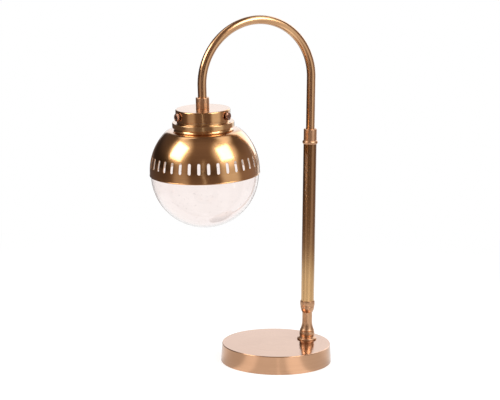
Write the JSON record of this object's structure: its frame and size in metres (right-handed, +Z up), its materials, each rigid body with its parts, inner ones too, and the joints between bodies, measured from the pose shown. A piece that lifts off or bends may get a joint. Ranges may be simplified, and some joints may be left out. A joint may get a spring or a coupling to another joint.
{
  "type": "desk lamp",
  "caption": "Brass desk lamp: weighted round base, off-centre turned post, crook arm, slotted half-dome shade over a clear glass globe held by thumb screws.",
  "frame": {"origin": "centre of the felt pad's underside, where the lamp stands on the table", "axes": "+Z up; +X from the centre of the base towards the post, so the head hangs at -X; the XZ plane is the plane of the arm"},
  "size_m": [0.3162, 0.1836, 0.5801],
  "materials": {
    "base_brass": "satin spun brass, rosy, fine turning lines",
    "turned_brass": "polished turned brass, warm brown",
    "post_brass": "antique brass tube, brushed lengthwise",
    "tube_brass": "antique brass tube, satin",
    "spun_brass": "antique spun brass, satin with fine turning lines",
    "screw_brass": "dark knurled brass",
    "cap_brass": "plain brass",
    "plated_steel": "zinc plated",
    "cast_iron": "as cast, painted",
    "felt": "dark felt",
    "black_rubber": "moulded, matt",
    "white_plastic": "moulded, matt",
    "white_ceramic": "glazed",
    "seeded_glass": "clear glass with small seeds",
    "opal_glass": "opal white, closed",
    "flex": "plastic sheath"
  },
  "bodies": {
    "lamp": {"base_shell": "base_brass", "base_weight": "cast_iron", "base_cover": "plated_steel", "base_pad": "felt", "cord_bush": "black_rubber", "terminal_block": "white_plastic", "rod_washer": "plated_steel", "rod_nut": "plated_steel", "tension_rod": "plated_steel", "foot_collar": "turned_brass", "baluster": "turned_brass", "post_cup": "turned_brass", "post_tube": "post_brass", "top_ferrule": "turned_brass", "gooseneck_arm": "tube_brass", "head_collar": "turned_brass", "head_nipple": "plated_steel", "fitter_cap": "spun_brass", "cap_locknut": "plated_steel", "neck_ring": "spun_brass", "dome_shade": "spun_brass", "glass_globe": "seeded_glass", "holder_cap": "white_plastic", "holder_body": "white_plastic", "holder_core": "white_ceramic", "bulb_cap": "cap_brass", "bulb_globe": "opal_glass", "inner_lead": "flex"},
    "screw_1": {"thumb_screw_1": "screw_brass"},
    "screw_2": {"thumb_screw_2": "screw_brass"},
    "screw_3": {"thumb_screw_3": "screw_brass"}
  },
  "joints": [
    {"name": "screw_1_travel", "type": "slide", "parent": "lamp", "child": "screw_1", "axis": [0.4536, 0.891, 0.0198], "range_m": [0, 0.0035]},
    {"name": "screw_2_travel", "type": "slide", "parent": "lamp", "child": "screw_2", "axis": [-0.9977, -0.0523, -0.0436], "range_m": [0, 0.0035]},
    {"name": "screw_3_travel", "type": "slide", "parent": "lamp", "child": "screw_3", "axis": [0.5441, -0.8387, 0.0238], "range_m": [0, 0.0035]}
  ]
}
